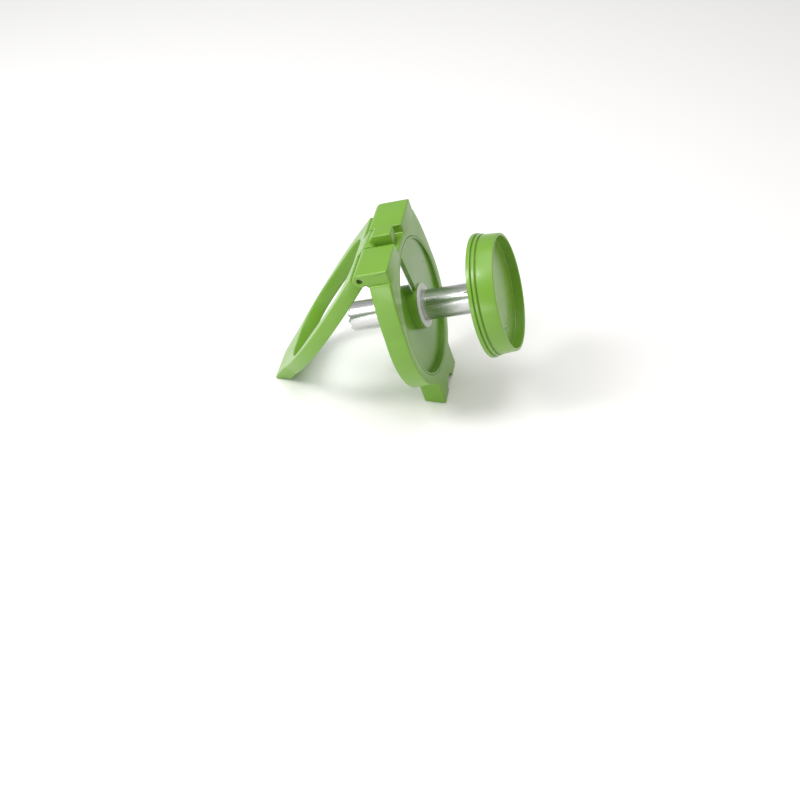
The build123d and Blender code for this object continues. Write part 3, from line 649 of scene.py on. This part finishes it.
def arrow_shell():
    """Raised turn arrow on the dish floor: a strip along an arc whose half width is steady on
    the tail and falls to nothing along the head."""
    start, end, radius = math.radians(215), math.radians(325), 21.0
    s = np.linspace(0, 1, 90)
    half = np.where(s < 0.8, 1.15, 3.1 * (1 - s) / 0.2 + 0.03)
    turn = start + (end - start) * s
    side = np.array([-1, -0.86, 0.86, 1, 1, -1])[None, :]
    lift = np.array([0.18, 0.3, 0.3, 0.18, -0.3, -0.3])[None, :]
    away = radius + half[:, None] * side
    flat = np.stack([away * np.cos(turn)[:, None], away * np.sin(turn)[:, None]], -1)
    depth = PUSH + 9.6 + lift + np.zeros_like(away)
    return skin(set_down(RING_PLACE, flat, depth), "cap")


# ------------------------------------------------------------------ settings
class CorerSizes(bpy.types.PropertyGroup):
    """Sizes that a user would change."""
    edge: bpy.props.FloatProperty(
        name="Edge rounding", description="Radius of the moulded edges",
        default=0.0009, min=0.0002, max=0.002, unit="LENGTH", precision=5)
    segments: bpy.props.IntProperty(
        name="Smoothness", description="Points round each turned piece",
        default=192, min=48, max=360)
    arrow: bpy.props.BoolProperty(
        name="Turn arrow", description="Raise a turn arrow on the floor of the cap", default=True)


class CorerFinish(bpy.types.PropertyGroup):
    """Colours and gloss that a user would change."""
    body: bpy.props.FloatVectorProperty(
        name="Body colour", description="Colour of the moulded plastic",
        default=(0.15, 0.33, 0.025), size=3, min=0, max=1, subtype="COLOR")
    gloss: bpy.props.FloatProperty(
        name="Body roughness", description="0 is a mirror and 1 is matt",
        default=0.3, min=0.1, max=0.8, subtype="FACTOR")
    floor: bpy.props.FloatVectorProperty(
        name="Floor colour", description="Colour of the studio floor",
        default=(0.94, 0.94, 0.94), size=3, min=0, max=1, subtype="COLOR")


# ------------------------------------------------------------------ operators
class CORER_OT_ring_frame(bpy.types.Operator):
    """Make the ring with its shoulders, foot and hinge lugs"""
    bl_idname = "corer.ring_frame"
    bl_label = "Ring frame"

    def execute(self, context):
        edge = context.scene.corer_sizes.edge / MM
        shells = [ring_shell(edge), lug_shell(-1, edge), lug_shell(1, edge)]
        make_piece("ring_body", shells, ["ring_frame"], "frame", "green_body")
        return {"FINISHED"}


class CORER_OT_leg(bpy.types.Operator):
    """Make the folding leg with its window and knuckle"""
    bl_idname = "corer.leg"
    bl_label = "Folding leg"

    def execute(self, context):
        edge = context.scene.corer_sizes.edge / MM
        make_piece("leg_body", leg_shells(edge), ["leg_plate"], "leg", "green_body")
        return {"FINISHED"}


class CORER_OT_pads(bpy.types.Operator):
    """Make the rubber pads of the foot and the toe"""
    bl_idname = "corer.pads"
    bl_label = "Rubber pads"

    def execute(self, context):
        for name, node, body in (("pad_near", "foot_pad_near", "frame"),
                                 ("pad_far", "foot_pad_far", "frame"),
                                 ("pad_toe", "toe_pad", "leg")):
            low, high = (np.array(corner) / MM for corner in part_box(node))
            half, middle = (high - low) / 2, (high + low) / 2
            loop = block_loop(half[0], half[1], 0.9, tuple(middle[:2]))
            shell = bar(loop, low[2], high[2], 0.35, FLOOR_PLACE)
            make_piece(name, [shell], [node], body, "rubber")
        return {"FINISHED"}


class CORER_OT_pin(bpy.types.Operator):
    """Make the hinge pin with its chamfered ends"""
    bl_idname = "corer.pin"
    bl_label = "Hinge pin"

    def execute(self, context):
        end = LUG_OUTER - PIN_RECESS
        half = [(end, 0.03), (end, PIN_R - 0.4), (end - 0.4, PIN_R)]
        profile = np.array(half + [(-a, r) for a, r in half[::-1]])
        shell = lathe(eased(profile, 0.1, 4, closed=False), "cap", 64, HINGE_PLACE)
        make_piece("pin", [shell], ["hinge_pin"], "frame", "steel")
        return {"FINISHED"}


class CORER_OT_disc(bpy.types.Operator):
    """Make the slicing disc: rim, hub, spiral ramp and screw bosses"""
    bl_idname = "corer.disc"
    bl_label = "Slicing disc"

    def execute(self, context):
        segments = context.scene.corer_sizes.segments
        rim = eased([(DISC_BACK, DISC_R), (FACE_FRONT - 0.05, DISC_R),
                     (FACE_FRONT - 0.05, DISC_INNER_R), (DISC_BACK, DISC_INNER_R)], 0.35)
        hub = eased([(HUB_BACK, HUB_R), (FACE_FRONT, HUB_R),
                     (FACE_FRONT, HUB_BORE_R), (HUB_BACK, HUB_BORE_R)], 0.5)
        shells = [lathe(rim, "join", segments), lathe(hub, "join", segments), ramp_shell()]
        for (y, u), k in zip(BOSS_SPOTS, BOSS_TURNS):
            top = DISC_BACK + k * PITCH + RAMP_THICK / 2
            profile = eased([(DISC_BACK, 0.03), (DISC_BACK, 2.4), (top, 2.4), (top, 0.03)],
                            0.25, 4, closed=False)
            shells.append(lathe(profile, "cap", 48, RING_PLACE, (y, u)))
        make_piece("disc", shells, ["slicing_disc"], "frame", "green_body")
        return {"FINISHED"}


class CORER_OT_blade(bpy.types.Operator):
    """Make the bevelled slicing blade and its two rivets"""
    bl_idname = "corer.blade"
    bl_label = "Blade and rivets"

    def execute(self, context):
        x_dir, y_dir = blade_place()[1:3]
        place = (RING_ZERO + AXIS * BLADE_TOP, y_dir, AXIS, x_dir)
        section = eased([(-BLADE_SEAT, 0), (-BLADE_SEAT, -BLADE_THICK),
                         (BLADE_SHOWS - BLADE_BEVEL, -BLADE_THICK), (BLADE_SHOWS, -0.03),
                         (BLADE_SHOWS, 0)], 0.05, 3)
        shell = bar(section, HUB_R + 0.3, DISC_INNER_R - 0.3, 0.04, place, steps=2)
        make_piece("blade", [shell], ["slicing_blade"], "frame", "blade_steel", sharp=20)
        under = blade_place(BLADE_TOP - BLADE_THICK)
        rivets = []
        for out in RIVET_PLACES:
            dome = np.linspace(0.02, math.pi / 2, 12)
            head = np.stack([-RIVET_HEAD * np.cos(dome), RIVET_HEAD_R * np.sin(dome)], -1)
            profile = np.vstack([head, [(0.0, RIVET_R), (BLADE_THICK, RIVET_R),
                                        (BLADE_THICK, 0.03)]])
            rivets.append(lathe(profile, "cap", 64, under, (out, -4.75)))
        make_piece("rivets", rivets, ["blade_rivets"], "frame", "steel")
        return {"FINISHED"}


class CORER_OT_screws(bpy.types.Operator):
    """Make the three screws of the disc and the three of the pusher"""
    bl_idname = "corer.screws"
    bl_label = "Screws"

    def execute(self, context):
        disc = [screw_shell(RING_PLACE, at, FACE_BACK - 0.06, 1.4, 11.1, 2.3, 1.25)
                for at in BOSS_SPOTS]
        make_piece("screws_disc", disc, ["disc_screws"], "frame", "steel")
        base = [screw_shell(RING_PLACE, at, PUSH - 0.06, 1.4, PUSH + 6.8, 2.3, 1.25)
                for at in BASE_SCREW_SPOTS]
        make_piece("screws_base", base, ["base_screws"], "pusher", "steel")
        return {"FINISHED"}


class CORER_OT_sleeve(bpy.types.Operator):
    """Make the guide sleeve and the open ring that keeps it in the hub"""
    bl_idname = "corer.sleeve"
    bl_label = "Guide sleeve"

    def execute(self, context):
        bore, outer, back, front = 9.55, 11.95, 4.0, 18.15
        profile = eased([(back, outer), (back + 0.15, outer), (back + 0.15, outer - 0.5),
                         (5.35, outer - 0.5), (5.35, outer), (front, outer),
                         (front, outer + 1.7), (front + 1.2, outer + 1.7),
                         (front + 1.2, bore), (back, bore)], 0.3, 4)
        segments = context.scene.corer_sizes.segments
        make_piece("sleeve", [lathe(profile, "join", segments)], ["guide_sleeve"], "sleeve",
                   "bearing_plastic")
        mouth = math.asin(1.6 / 12.5)
        turn = np.linspace(math.pi / 2 + mouth, math.pi / 2 - mouth + TAU, 160)[:, None]
        section = eased([(4.15, outer - 0.45), (4.15, outer + 1.6), (5.35, outer + 1.6),
                         (5.35, outer - 0.45)], 0.2, 4)
        radius, depth = section[:, 1][None], section[:, 0][None] + 0 * turn
        flat = np.stack([radius * np.cos(turn), radius * np.sin(turn)], -1)
        clip = skin(set_down(RING_PLACE, flat, depth), "cap")
        make_piece("clip", [clip], ["sleeve_clip"], "sleeve", "steel")
        return {"FINISHED"}


class CORER_OT_tube(bpy.types.Operator):
    """Make the core tube with its toothed mouth, and the clamp that holds it"""
    bl_idname = "corer.tube"
    bl_label = "Core tube"

    def execute(self, context):
        inner, seat = TUBE_R - TUBE_WALL, PUSH + 3.2
        profile = eased([(TUBE_TIP, TUBE_R - 0.06), (TUBE_TIP + 2.0, TUBE_R),
                         (seat, TUBE_R), (seat, 13.0), (seat + 0.8, 13.0), (seat + 0.8, inner),
                         (TUBE_TIP + 2.0, inner), (TUBE_TIP, TUBE_R - 0.2)], 0.12, 3)

        def teeth(t, shape):
            step = TAU / TUBE_TEETH
            wave = np.abs((t % step) / step * 2 - 1)
            near = np.clip((TUBE_TIP + 3.0 - shape[:, 0:1]) / 3.0, 0, 1)
            return TOOTH_DEPTH * wave * near
        segments = 24 * TUBE_TEETH
        make_piece("tube", [lathe(profile, "join", segments, shift=teeth)], ["core_tube"],
                   "pusher", "tube_steel")
        low, high = seat + 0.8, PUSH + 7.3
        ring = eased([(low, 13.0), (high, 13.0), (high, 6.0), (low, 6.0)], 0.4)
        make_piece("clamp", [lathe(ring, "join", 128)], ["tube_clamp"], "pusher",
                   "bearing_plastic")
        return {"FINISHED"}


class CORER_OT_pusher(bpy.types.Operator):
    """Make the pusher's base with its flange and grooves, and its dished cap"""
    bl_idname = "corer.pusher"
    bl_label = "Pusher"

    def execute(self, context):
        segments = context.scene.corer_sizes.segments
        base = [(0, 9.6), (0, 38.2), (2.5, 38.2), (2.5, 36.8), (3.2, 36.8), (3.2, 37.5),
                (5.1, 37.5), (5.1, 36.2), (5.8, 36.2), (5.8, 33.55), (7.25, 33.55),
                (7.25, 31.55), (3.2, 31.55), (3.2, 9.6)]
        profile = eased(np.array(base) + (PUSH, 0), 0.55, 6)
        make_piece("pusher_body", [lathe(profile, "join", segments)], ["pusher_base"],
                   "pusher", "green_body")
        cap = [(7.4, 0.03), (7.4, 33.7), (5.8, 33.7), (5.8, 36.9), (16, 36.1), (16, 34.4),
               (9.6, 34.4), (9.6, 0.03)]
        profile = eased(np.array(cap) + (PUSH, 0), 0.7, 6, closed=False)
        shells = [lathe(profile, "cap", segments)]
        if context.scene.corer_sizes.arrow:
            shells.append(arrow_shell())
        make_piece("pusher_top", shells, ["pusher_cap"], "pusher", "green_body")
        return {"FINISHED"}


class CORER_OT_prongs(bpy.types.Operator):
    """Make the four pointed prongs"""
    bl_idname = "corer.prongs"
    bl_label = "Prongs"

    def execute(self, context):
        for number in range(4):
            at = spot(17.5, 45 + 90 * number)
            s = np.linspace(0, 1, 14)
            point = np.stack([PUSH - 8 + 3.5 * s, 0.12 + 1.08 * s ** 0.8], -1)
            profile = np.vstack([[(PUSH - 8, 0.02)], point,
                                 [(PUSH + 3.2, 1.2), (PUSH + 3.2, 0.02)]])
            make_piece(f"spike_{number + 1}", [lathe(profile, "cap", 48, RING_PLACE, at)],
                       [f"prong_{number + 1}"], "pusher", "steel")
        return {"FINISHED"}


class CORER_OT_stage(bpy.types.Operator):
    """Make the floor, the soft studio lights and the camera"""
    bl_idname = "corer.stage"
    bl_label = "Stage"

    def execute(self, context):
        scene = context.scene
        size = 3.0
        mesh = bpy.data.meshes.new("floor")
        mesh.from_pydata([(-size, -size, 0), (size, -size, 0), (size, size, 0),
                          (-size, size, 0)], [], [(0, 1, 2, 3)])
        floor = bpy.data.objects.new("floor", mesh)
        scene.collection.objects.link(floor)
        base = np.array(scene.corer_finish.floor)
        mesh.materials.append(finish_tree("studio floor", moulded_grain(),
                                          {"Low": 0.6, "High": 0.75, "Cloud Scale": 2.0},
                                          tuple(base), tuple(base), 0.0, 0.0))

        world = bpy.data.worlds.new("studio air")
        scene.world = world
        world.use_nodes = True
        world.node_tree.nodes["Background"].inputs["Color"].default_value = (1, 1, 1, 1)
        world.node_tree.nodes["Background"].inputs["Strength"].default_value = 0.5
        aim = HINGE * MM * (1, 0, 0.5)
        for name, direction, far, wide, high, power, colour in (
                ("key", (-0.58, -0.3, 0.76), 0.75, 0.22, 0.4, 3.6, (1.0, 0.99, 0.96)),
                ("top", (0.0, 0.15, 1.0), 0.9, 0.8, 0.8, 4.2, (1.0, 1.0, 1.0)),
                ("near", (-0.3, -0.95, 0.14), 0.8, 0.5, 0.16, 1.3, (1.0, 1.0, 0.98)),
                ("right", (0.95, -0.25, 0.35), 0.9, 0.5, 0.5, 0.9, (1.0, 0.7, 0.55))):
            light = bpy.data.lights.new(name, "AREA")
            light.shape = "RECTANGLE"
            light.size, light.size_y = wide, high
            light.energy, light.color = power, colour
            lamp = bpy.data.objects.new(name, light)
            scene.collection.objects.link(lamp)
            at = aim + unit(direction) * far
            lamp.location = at
            lamp.rotation_euler = look(at, aim)
        scene.view_settings.view_transform = "Standard"

        turn, lift, far = CAMERA_TURN, CAMERA_LIFT, CAMERA_FAR
        right = np.array((math.cos(turn), math.sin(turn), 0))
        into = np.array((-math.sin(turn) * math.cos(lift), math.cos(turn) * math.cos(lift),
                         -math.sin(lift)))
        top = np.cross(right, into)
        camera = bpy.data.objects.new("camera", bpy.data.cameras.new("camera"))
        scene.collection.objects.link(camera)
        place = (HINGE + CAMERA_RIGHT * right - CAMERA_DOWN * top - far * into) * MM
        camera.location = place
        camera.rotation_euler = look(place, place + into)
        camera.data.lens = CAMERA_LENS
        scene.camera = camera
        return {"FINISHED"}


def look(start, end):
    """Turn that points an object's -Z from one place to another, its Y kept up."""
    return (Vector(end) - Vector(start)).to_track_quat("-Z", "Y").to_euler()


STEPS = (CORER_OT_ring_frame, CORER_OT_leg, CORER_OT_pads, CORER_OT_pin, CORER_OT_disc,
         CORER_OT_blade, CORER_OT_screws, CORER_OT_sleeve, CORER_OT_tube, CORER_OT_pusher,
         CORER_OT_prongs, CORER_OT_stage)


class CORER_PT_panel(bpy.types.Panel):
    """Sizes, colours and the steps that make the pieces"""
    bl_idname = "CORER_PT_panel"
    bl_label = "Apple corer"
    bl_space_type = "VIEW_3D"
    bl_region_type = "UI"
    bl_category = "Corer"

    def draw(self, context):
        for group in (context.scene.corer_sizes, context.scene.corer_finish):
            box = self.layout.box()
            for key in group.__annotations__:
                box.prop(group, key)
        for step in STEPS:
            self.layout.operator(step.bl_idname)


CLASSES = (CorerSizes, CorerFinish, *STEPS, CORER_PT_panel)


def register():
    """Add the settings, operators and panel."""
    for cls in CLASSES:
        bpy.utils.register_class(cls)
    bpy.types.Scene.corer_sizes = bpy.props.PointerProperty(type=CorerSizes)
    bpy.types.Scene.corer_finish = bpy.props.PointerProperty(type=CorerFinish)


def unregister():
    """Take them away again."""
    del bpy.types.Scene.corer_finish
    del bpy.types.Scene.corer_sizes
    for cls in reversed(CLASSES):
        bpy.utils.unregister_class(cls)


def main():
    """Make every piece in order."""
    register()
    for step in STEPS:
        group, call = step.bl_idname.split(".")
        getattr(getattr(bpy.ops, group), call)()
    bpy.context.view_layer.update()


if __name__ == "__main__":
    main()
